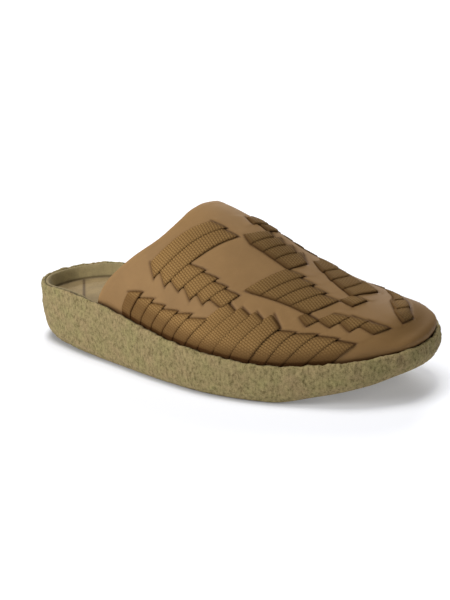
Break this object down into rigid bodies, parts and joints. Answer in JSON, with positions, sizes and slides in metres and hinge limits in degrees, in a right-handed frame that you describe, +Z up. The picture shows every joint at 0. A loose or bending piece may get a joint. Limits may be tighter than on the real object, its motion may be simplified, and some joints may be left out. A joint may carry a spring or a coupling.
{
  "type": "house slipper",
  "caption": "Closed-toe backless house slipper: woven webbing through a leather upper on a thick crepe cup sole.",
  "frame": {"origin": "on the floor, under the middle of the shoe's box", "axes": "+X from the heel to the toe, +Y to the medial side, +Z up"},
  "size_m": [0.2834, 0.1082, 0.1069],
  "materials": {
    "crepe": "rough crepe, matte",
    "lining": "brushed, matte",
    "insole": "brushed, matte",
    "leather": "smooth, low sheen",
    "webbing": "ribbed weave, matte"
  },
  "bodies": {
    "root": {"outsole": "crepe", "footbed": "lining", "insole": "insole", "upper": "leather"}
  },
  "joints": []
}
